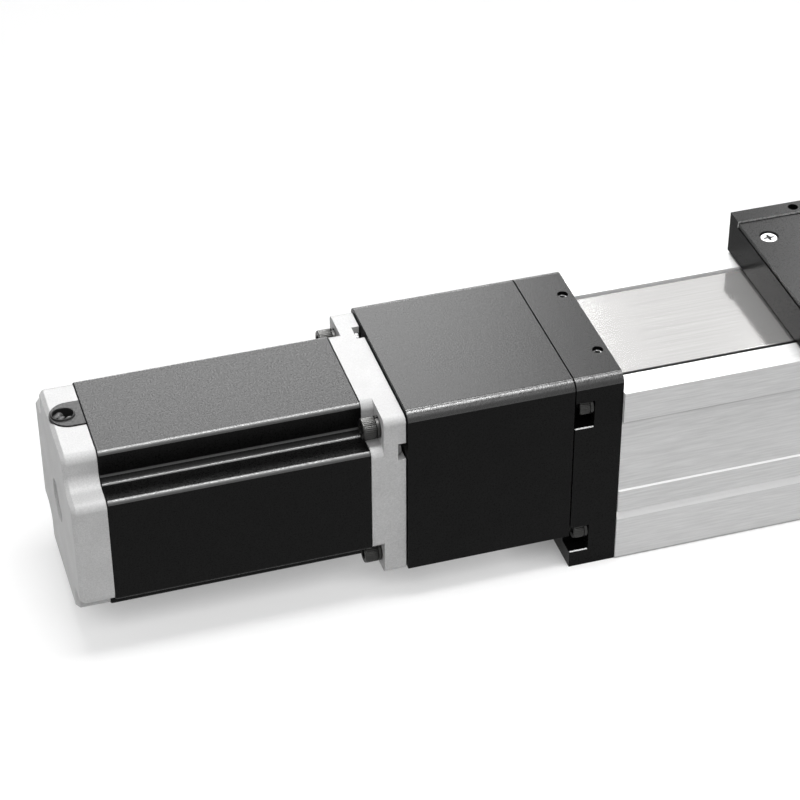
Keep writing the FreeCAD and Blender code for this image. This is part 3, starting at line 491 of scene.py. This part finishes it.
# Step walls beside the cover plate: worn specks, and a much lighter black that paints the step's
# highlight
STEP_WEAR_AND_HIGHLIGHT_FINISH = blasted_black("worn_step_and_highlight", 0.10, (0.32, 0.50), 1300.0, 1.4e-5, 0.4, 0.26)
STRIP_FINISH = brushed_finish(
    "satin_strip", grey(0.63, 0.012), grey(0.69, 0.012), (0.07, 0.11), 2600.0, 46.0, 2.6e-6, 0.76)
# Near-black copy of the strip's steel on its side walls: painted shade in the slots
STRIP_EDGE_SHADE_FINISH = brushed_finish(
    "satin_strip_edge_shade", grey(0.05), grey(0.09), (0.40, 0.60), 2600.0, 46.0, 2.2e-6)
# Near-white aluminium: painted highlight on the profile's upward slopes and painted light on its
# slot walls
CUT_EDGE_AND_HIGHLIGHT_FINISH = brushed_finish(
    "bare_cut_edge_and_highlight", grey(0.93), grey(0.99), (0.36, 0.52), 2600.0, 60.0, 2.2e-6, 0.1)
BOLT_FINISH = plain_metal("black_oxide", (0.042, 0.042, 0.041), (0.30, 0.50), 1700.0, 1.6e-5)
SET_SCREW_FINISH = plain_metal("black_oxide_worn", (0.10, 0.10, 0.10), (0.30, 0.50), 1700.0, 1.6e-5)
ZINC_FINISH = grainy_finish(
    "zinc_plate", grey(0.62), grey(0.72), 0.3, (0.40, 0.55), 900.0, 4.0e-6, 120.0)
# Darker zinc in the cross recesses: painted shade
RECESS_SHADE_FINISH = plain_metal("zinc_recess_shade", (0.12, 0.12, 0.12), (0.40, 0.60))
LIP_FINISH = grainy_finish(
    "torn_rubber", grey(0.02), grey(0.09), 0.0, (0.40, 0.60), 1200.0, 2.0e-5, 420.0, 0.14)


# Edges of the solid nodes: rounds in millimetres, and the least angle in degrees
EDGE_ROUNDS = {
    "base_profile": 0.16,
    "cover_strip": 0.6,
    "drive_end_block": 0.3,
    "far_end_block": 0.3,
    "coupling_housing": 0.3,
    "motor_front_flange": 0.6,
    "motor_rear_cap": 0.9,
    "motor_stator": 0.75,
    "slide_table": 0.12,
    "table_cover_plate": 0.15,
    "wire_grommet": 0.35,
}
PLAIN_EDGE_ROUND = 0.12
EDGE_ANGLE = 38

# Second finish of a node, and the places of its faces, millimetres: ranges of distance from the
# middle plane, least distances from it, and least heights
# The second finishes are painted highlights, with painted shade on the cover strip's sides
SECOND_FINISH = {
    "cover_strip": STRIP_EDGE_SHADE_FINISH,
    "base_profile": CUT_EDGE_AND_HIGHLIGHT_FINISH,
    "motor_stator": STATOR_HIGHLIGHT_FINISH,
    "coupling_housing": ROUND_HIGHLIGHT_FINISH,
    "drive_end_block": ROUND_HIGHLIGHT_FINISH,
    "far_end_block": ROUND_HIGHLIGHT_FINISH,
    "slide_table": STEP_WEAR_AND_HIGHLIGHT_FINISH,
}
STRIP_SLOT_WALLS = (32.0, 33.0)
STRIP_SLOTS_FROM = 80.0
PROFILE_SLOPES_FROM = 20.0
TABLE_STEPS = (37.0, 38.2)
TABLE_STEPS_FROM = 112.0
STATOR_LEDGES_OUTSIDE = 30.0
LONG_ROUNDS_OUTSIDE = 38.5

# Joints left open round the housing and the cover plate, millimetres
JOINT_GAP = 0.5
PLATE_INSET = 0.4
NEW_PIECES = ("motor_bolts",)


def merged_copy(name):
    """A node's mesh with its loose triangles joined and its flat faces made whole."""
    mesh = NODES[name].data.copy()
    mesh.name = name + "_dressed"
    old_normals = mesh.attributes.get("custom_normal")
    if old_normals:
        mesh.attributes.remove(old_normals)
    work = bmesh.new()
    work.from_mesh(mesh)
    bmesh.ops.remove_doubles(work, verts=work.verts, dist=1e-6)
    flat = math.radians(0.5)
    bmesh.ops.dissolve_limit(work, angle_limit=flat, verts=work.verts, edges=work.edges)
    work.to_mesh(mesh)
    work.free()
    return mesh


def mesh_points(mesh):
    """The places of a mesh's vertices, in millimetres."""
    points = np.empty(len(mesh.vertices) * 3)
    mesh.vertices.foreach_get("co", points)
    return points.reshape(-1, 3) / MM


def step_level(mesh, axis, level, step):
    """Moves the points of one flat level along its axis, which leaves a narrow joint."""
    points = mesh_points(mesh)
    points[:, axis] += np.where(np.abs(points[:, axis] - level) < 0.01, step, 0.0)
    mesh.vertices.foreach_set("co", (points * MM).reshape(-1))


def face_values(mesh, value):
    """The normal or the centre of each face of a mesh, in its own units."""
    values = np.empty(len(mesh.polygons) * 3)
    mesh.polygons.foreach_get(value, values)
    return values.reshape(-1, 3)


def within(values, limits):
    """Whether each value lies between two limits."""
    return (values > limits[0]) & (values < limits[1])


def second_faces(name, mesh):
    """The number of the finish that each face of a node takes, told by its slope and place.

    Nought is the node's own finish, one its second and two its third.
    """
    normal = np.abs(face_values(mesh, "normal"))
    centre = face_values(mesh, "center") / MM
    side = np.abs(centre[:, 1])
    height = centre[:, 2]
    upright = normal[:, 1] > 0.9
    if name == "cover_strip":
        # The strip's side walls take the painted shade
        return upright
    if name == "base_profile":
        # Slot walls and upward slopes of the profile take painted light and highlight
        slot_wall = upright & within(side, STRIP_SLOT_WALLS) & (height > STRIP_SLOTS_FROM)
        slope = (normal[:, 1] > 0.3) & (normal[:, 2] > 0.2) & (height > PROFILE_SLOPES_FROM)
        return slot_wall | slope
    if name == "slide_table":
        # Step walls by the cover plate take wear and a painted highlight
        step = upright & within(side, TABLE_STEPS) & (height > TABLE_STEPS_FROM)
        return step + 2 * (normal[:, 0] > 0.9)
    if name == "motor_stator":
        # Tilted faces above the axis only: painted highlight on the stator's upper edges
        above_axis = height - SCREW_AXIS_Z / MM
        outside = np.maximum(side, np.abs(above_axis)) > STATOR_LEDGES_OUTSIDE
        tilted = (normal[:, 1] > 0.08) & (normal[:, 2] > 0.08)
        return outside & tilted & (above_axis > 0)
    # Long rounds of the housing and the end blocks take the painted highlight
    tilted = (normal[:, 1] > 0.1) & (normal[:, 2] > 0.1)
    return tilted & (side > LONG_ROUNDS_OUTSIDE)


def dressed_copy(name, body, finish):
    """A merged copy of a node with small rounds on its edges and a second finish on some faces.

    The second finishes paint highlights on rounds, slopes and steps, and shade on the cover strip's
    sides; the table's steps show wear as well.
    """
    mesh = merged_copy(name)
    if name == "coupling_housing":
        step_level(mesh, 0, BLOCK_BOX[0].x / MM, -JOINT_GAP)
        step_level(mesh, 0, HOUSING_BOX[0].x / MM, JOINT_GAP)
    if name == "table_cover_plate":
        step_level(mesh, 0, COVER_PLATE_BOX[0].x / MM, PLATE_INSET)
        step_level(mesh, 0, COVER_PLATE_BOX[1].x / MM, -PLATE_INSET)
        step_level(mesh, 2, COVER_PLATE_BOX[0].z / MM, PLATE_INSET)
    mesh.materials.clear()
    mesh.materials.append(finish)
    second = np.zeros(len(mesh.polygons), dtype=np.int32)
    if name in SECOND_FINISH:
        mesh.materials.append(SECOND_FINISH[name])
        mesh.materials.append(END_FACE_FINISH if name == "slide_table" else finish)
        second[:] = second_faces(name, mesh)
    mesh.polygons.foreach_set("material_index", second)
    mesh.polygons.foreach_set("use_smooth", np.ones(len(mesh.polygons), dtype=bool))
    piece = bpy.data.objects.new(name + "_dressed", mesh)
    bpy.context.scene.collection.objects.link(piece)
    edge = piece.modifiers.new("edges", "BEVEL")
    edge.width = EDGE_ROUNDS.get(name, PLAIN_EDGE_ROUND) * MM
    edge.segments = 3 if name in EDGE_ROUNDS else 1
    edge.limit_method = "ANGLE"
    edge.angle_limit = math.radians(EDGE_ANGLE)
    flats = piece.modifiers.new("flats", "WEIGHTED_NORMAL")
    flats.mode = "FACE_AREA"
    flats.weight = 80
    flats.keep_sharp = True
    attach(piece, body)
    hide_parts(name)
    return piece


def dress_nodes():
    """Dresses every node of the frame, apart from those that a new piece stands for."""
    slots = {row["node"]: row["material_slot"] for row in frame["record"]["subparts"]}
    for body, names in frame["record"]["behaviour"]["bodies"].items():
        for name in names:
            if name in NEW_PIECES:
                continue
            slot = slots[name]
            finish = STRIP_FINISH if name == "cover_strip" else FINISH[slot]
            dressed_copy(name, body, finish)


# Fasteners in view
def motor_bolts():
    """Four knurled socket bolts in the ears, with a split washer under each."""
    ear_back = FLANGE_BOX[1].x / MM - PILOT_LENGTH - EAR_THICKNESS
    rearwards = (-1, 0, 0)
    bolt = socket_screw(M6, BOLT_LENGTH)
    washer = spring_washer_grid(3.2, 5.0, SPRING_WASHER)
    bolts = []
    washers = []
    for y in (-BOLT_OFFSET, BOLT_OFFSET):
        for z in (-BOLT_OFFSET, BOLT_OFFSET):
            height = SCREW_AXIS_Z / MM + z
            bolts.append(placed(bolt, (ear_back - SPRING_WASHER, y, height), rearwards))
            washers.append(placed(washer, (ear_back, y, height), rearwards))
    surface("motor_bolt_set", bolts, "base", BOLT_FINISH, 32, ("motor_bolts",))
    surface("motor_washer_set", washers, "base", BOLT_FINISH, 32)


def block_bolts():
    """The end blocks' bolts in their side pockets, each with a split washer."""
    bolt = socket_screw(M5, 2.0, 30)
    washer = spring_washer_grid(2.7, 4.25, SPRING_WASHER)
    bolts = []
    washers = []
    ends = (
        (BLOCK_BOX[0].x / MM + SIDE_POCKET_LENGTH, (-1, 0, 0)),
        (FAR_BLOCK_BOX[1].x / MM - SIDE_POCKET_LENGTH, (1, 0, 0)),
    )
    for x, direction in ends:
        for y in (-PORT_Y, PORT_Y):
            for z in PORT_HEIGHTS:
                seat = (x + direction[0] * SPRING_WASHER, y, z)
                bolts.append(placed(bolt, seat, direction))
                washers.append(placed(washer, (x, y, z), direction))
    surface("block_bolt_set", bolts, "base", BOLT_FINISH, 32)
    surface("block_washer_set", washers, "base", BOLT_FINISH, 32)


def cover_screws():
    """Four bright cross-recessed screws, sunk in the table's cover plate."""
    reach = (TABLE_BOX[1].x - TABLE_BOX[0].x) / 2 / MM - COVER_SCREW_INSET
    top = COVER_PLATE_BOX[1].z / MM - COVER_SCREW_SINK
    grid = cross_recess_head(COVER_SCREW_RADIUS, 1.5, 0.40, 2.0, 8.0)
    heads = []
    for x in (-reach, reach):
        for y in (-COVER_SCREW_Y, COVER_SCREW_Y):
            heads.append(placed(grid, (TABLE_X / MM + x, y, top), (0, 0, 1)))
    piece = surface("cover_screw_set", heads, "carriage", ZINC_FINISH, 30)
    mesh = piece.data
    centre = face_values(mesh, "center") / MM
    along = np.abs(centre[:, 0] - TABLE_X / MM) - reach
    across = np.abs(centre[:, 1]) - COVER_SCREW_Y
    # Faces down in each cross recess take the painted shade
    recess = (centre[:, 2] < top - RECESS_START) & (np.hypot(along, across) < RECESS_RADIUS)
    mesh.materials.append(RECESS_SHADE_FINISH)
    mesh.polygons.foreach_set("material_index", recess.astype(np.int32))


def set_screws():
    """A set screw with a hexagon socket in each of the end blocks' top holes."""
    grid = turned([
        (-5.0, 0, 0, 0), (-5.0, 1.9, 0, 0), (-4.5, 2.42, 0, 0), (-0.35, 2.42, 0, 0),
        (0, 2.05, 0, 0), (0, 1.65, 0, 0), (-0.15, 0, 1, 0), (-1.7, 0, 1, 0), (-2.0, 0, 0, 0),
    ], 72, 2.5)
    x = PROFILE_BOX[1].x / MM + TOP_HOLE_X
    top = BLOCK_BOX[1].z / MM - SET_SCREW_SINK
    grids = []
    for end in (-1, 1):
        for side in (-1, 1):
            grids.append(placed(grid, (end * x, side * TOP_HOLE_Y, top), (0, 0, 1)))
    surface("block_set_screws", grids, "base", SET_SCREW_FINISH, 32)


def flange_screws():
    """Low socket heads in the flange's four pockets, which hold the motor together."""
    grid = turned([
        (0, 0, 0, 0), (0, 3.2, 0, 0), (0.3, 3.4, 0, 0), (1.7, 3.4, 0, 0), (2.3, 2.8, 0, 0),
        (2.4, 2.2, 0, 0), (2.3, 0, 1, 0), (0.9, 0, 1, 0), (0.7, 0, 0, 0),
    ], 72, 3.0)
    seat = FLANGE_BOX[1].x / MM - PILOT_LENGTH - FLANGE_POCKET_DEPTH
    near = FLANGE_SCREW_NEAR
    far = FLANGE_SCREW_FAR
    grids = []
    for y, z in ((near, far), (-far, near), (-near, -far), (far, -near)):
        grids.append(placed(grid, (seat, y, SCREW_AXIS_Z / MM + z), (1, 0, 0)))
    surface("flange_screw_set", grids, "base", SET_SCREW_FINISH, 32)


def rounded_bar(start, length, width, height):
    """A half-round bar along X: a superellipse carried from end to end and closed."""
    angle = np.linspace(0, 2 * math.pi, 25)
    across = np.sign(np.cos(angle)) * np.abs(np.cos(angle)) ** 0.6 * width / 2
    rise = np.sign(np.sin(angle)) * np.abs(np.sin(angle)) ** 0.6 * height / 2
    run = np.array([0, 0, 0.15, length - 0.15, length, length])[:, None]
    size = np.array([0, 0.8, 1, 1, 0.8, 0])[:, None]
    ring = np.stack([run + 0 * across, across * size, rise * size], axis=-1)
    return (ring + np.array(start)) * MM


def pocket_lips():
    """The bare lower lip of each side pocket, where the cutter has left bright metal.

    Its near-white tone also paints the highlight on the lip where it faces up.
    """
    inset = 0.2
    width = 0.8
    height = 0.5
    side_y = BLOCK_BOX[1].y / MM - width / 2 - 0.02
    far_start = FAR_BLOCK_BOX[1].x / MM - SIDE_POCKET_LENGTH
    grids = []
    for low_x in (BLOCK_BOX[0].x / MM, far_start):
        for side in (-1, 1):
            for middle in POCKET_MIDDLES:
                start = (low_x + inset, side * side_y, middle - SIDE_POCKET_HEIGHT / 2 + 0.18)
                grids.append(rounded_bar(start, SIDE_POCKET_LENGTH - 2 * inset, width, height))
    surface("pocket_lip_set", grids, "base", CUT_EDGE_AND_HIGHLIGHT_FINISH, 40)


def grommet_flap(angle, reach, width, droop, twist):
    """A torn lip of rubber: a tapered tongue that runs in from the rim and curls down.

    Along it the height falls with the square of the run, and across it the edges lift a little.
    """
    along = np.linspace(0, 1, 14)[:, None]
    across = np.linspace(-1, 1, 9)[None, :]
    half = width / 2 * np.sqrt(1 - 0.92 * along ** 2)
    run = reach * along + 0 * across
    side = across * half + twist * along ** 2
    top = 0.25 + 0.9 * np.sin(along * math.pi * 0.7) - droop * along ** 2 - 0.25 * across ** 2
    bottom = top - 0.75 * (1 - 0.5 * along) * np.sqrt(1.02 - across ** 2)
    upper = np.stack([run, side, top], axis=-1)
    lower = np.stack([run, side, bottom], axis=-1)
    closed = np.concatenate([upper, lower[:, ::-1], upper[:, :1]], axis=1)
    first = np.repeat(closed[:1].mean(axis=1, keepdims=True), closed.shape[1], axis=1)
    last = np.repeat(closed[-1:].mean(axis=1, keepdims=True), closed.shape[1], axis=1)
    strip = np.concatenate([first, closed, last], axis=0)
    cosine = math.cos(angle)
    sine = math.sin(angle)
    turn = np.array([[cosine, -sine, 0], [sine, cosine, 0], [0, 0, 1]])
    return strip @ turn.T


def grommet_lips():
    """Four torn lips across the mouth of the wire grommet."""
    middle_x = GROMMET_BOX[0].x / MM + GROMMET_LIP + MOUTH_HALF_LENGTH
    height = GROMMET_BOX[1].z / MM - LIP_SINK
    grids = []
    for angle, reach, width, droop, twist in (
        (-0.10, 4.6, 2.6, 1.9, 1.2),
        (1.00, 4.4, 2.2, 1.1, -0.9),
        (-0.95, 3.6, 3.4, 1.7, 0.7),
        (2.35, 2.6, 2.8, 1.4, 0.6),
    ):
        x = middle_x - (MOUTH_HALF_LENGTH - 0.4) * math.cos(angle)
        y = MOUTH_SHIFT - MOUTH_HALF_WIDTH * math.sin(angle)
        flap = grommet_flap(angle, reach, width, droop, twist)
        grids.append((flap + np.array([x, y, height])) * MM)
    surface("grommet_lip_set", grids, "base", LIP_FINISH, 60)


# Studio: places in metres, the lens in millimetres
CAMERA_PLACE = (-0.545281, -0.879584, 0.765649)
CAMERA_RIGHT = (0.955985, -0.293388, -0.003927)
CAMERA_UP = (0.178442, 0.570713, 0.801527)
CAMERA_BACK = (-0.232917, -0.766949, 0.597946)
CAMERA_LENS = 114.2
FILL = 0.24
BACKDROP = 1.0
FLOOR_TONE = 0.60
FLOOR_LIFT = 0.52
SHADOW_REACH = 0.027
FLOOR_SIDE = 6.0
AIM_HEIGHT = 0.10

# Name, place, aim along X, width, height, radiance, and whether it lights matt surfaces too
LAMPS = (
    ("gloss_panel", (-0.14, 1.30, 1.20), -0.25, 0.88, 1.14, 20.3, False),
    ("side_gloss_panel", (0.93, 1.30, 1.08), -0.25, 0.50, 0.90, 19.4, False),
    ("crest_panel", (-0.20, -0.10, 1.90), -0.25, 1.20, 0.25, 42.0, False),
    ("top_panel", (-0.20, -0.15, 1.92), -0.20, 0.90, 0.60, 12.5, True),
    ("front_panel", (-0.35, -1.25, 1.45), -0.35, 1.20, 0.80, 2.9, True),
    ("left_panel", (-1.60, -0.30, 0.60), -0.40, 0.80, 0.80, 0.85, True),
)


def set_camera():
    """The camera at the photograph's viewing angle."""
    data = bpy.data.cameras.new("camera")
    data.lens = CAMERA_LENS
    data.sensor_width = 36.0
    data.clip_start = 0.01
    camera = bpy.data.objects.new("camera", data)
    axes = Matrix((CAMERA_RIGHT, CAMERA_UP, CAMERA_BACK)).transposed()
    camera.matrix_world = Matrix.Translation(CAMERA_PLACE) @ axes.to_4x4()
    bpy.context.scene.collection.objects.link(camera)
    bpy.context.scene.camera = camera


def soft_lamp(name, place, target, width, height, power, lights_matt):
    """A large soft panel that faces a point, and may show in gloss alone."""
    data = bpy.data.lights.new(name, "AREA")
    data.shape = "RECTANGLE"
    data.size = width
    data.size_y = height
    data.energy = power
    lamp = bpy.data.objects.new(name, data)
    lamp.location = place
    lamp.rotation_euler = (Vector(target) - Vector(place)).to_track_quat("-Z", "Y").to_euler()
    lamp.visible_diffuse = lights_matt
    bpy.context.scene.collection.objects.link(lamp)


def seen_rays(nodes, links):
    """One where the ray is a camera, glossy or transmission ray, and nought where it is not."""
    path = nodes.new("ShaderNodeLightPath")
    first = nodes.new("ShaderNodeMath")
    first.operation = "MAXIMUM"
    links.new(path.outputs["Is Camera Ray"], first.inputs[0])
    links.new(path.outputs["Is Glossy Ray"], first.inputs[1])
    second = nodes.new("ShaderNodeMath")
    second.operation = "MAXIMUM"
    links.new(first.outputs["Value"], second.inputs[0])
    links.new(path.outputs["Is Transmission Ray"], second.inputs[1])
    return second.outputs["Value"]


def set_floor():
    """A pale floor that is white to the camera and keeps the soft shadow.

    Its white lift fades with ambient occlusion, which adds a painted shadow near the object.
    """
    mesh = bpy.data.meshes.new("floor")
    side = FLOOR_SIDE
    corners = [(-side, -side, 0), (side, -side, 0), (side, side, 0), (-side, side, 0)]
    mesh.from_pydata(corners, [], [(0, 1, 2, 3)])
    floor = bpy.data.objects.new("floor", mesh)
    bpy.context.scene.collection.objects.link(floor)
    material, nodes, links, shader = new_material("floor")
    shader.inputs["Base Color"].default_value = (*grey(FLOOR_TONE), 1)
    shader.inputs["Roughness"].default_value = 0.9
    shader.inputs["Specular IOR Level"].default_value = 0.0
    shader.inputs["Emission Color"].default_value = (1, 1, 1, 1)
    # Painted shadow: the lift fades where ambient occlusion finds the object near
    cover = nodes.new("ShaderNodeAmbientOcclusion")
    cover.inputs["Distance"].default_value = SHADOW_REACH
    cover.samples = 16
    lift = spread(nodes, links, cover.outputs["AO"], 0, FLOOR_LIFT, 0.05, 0.62)
    seen = nodes.new("ShaderNodeMath")
    seen.operation = "MULTIPLY"
    links.new(lift, seen.inputs[0])
    links.new(seen_rays(nodes, links), seen.inputs[1])
    links.new(seen.outputs["Value"], shader.inputs["Emission Strength"])
    floor.data.materials.append(material)


def set_world():
    """Even fill all round, and a white backdrop to the camera and to gloss."""
    world = bpy.data.worlds.new("studio")
    bpy.context.scene.world = world
    world.use_nodes = True
    nodes = world.node_tree.nodes
    links = world.node_tree.links
    background = nodes["Background"]
    background.inputs["Color"].default_value = (1, 1, 1, 1)
    strength = spread(nodes, links, seen_rays(nodes, links), FILL, BACKDROP, 0, 1)
    links.new(strength, background.inputs["Strength"])


def set_lamps():
    """Every lamp of the table; its power is its radiance times pi times its area."""
    for name, place, aim_x, width, height, radiance, lights_matt in LAMPS:
        power = radiance * math.pi * width * height
        soft_lamp(name, place, (aim_x, 0.0, AIM_HEIGHT), width, height, power, lights_matt)


def main():
    bpy.context.scene.view_settings.view_transform = "Standard"
    dress_nodes()
    motor_bolts()
    block_bolts()
    cover_screws()
    set_screws()
    flange_screws()
    pocket_lips()
    grommet_lips()
    set_floor()
    set_world()
    set_lamps()
    set_camera()
    bpy.context.view_layer.update()


main()
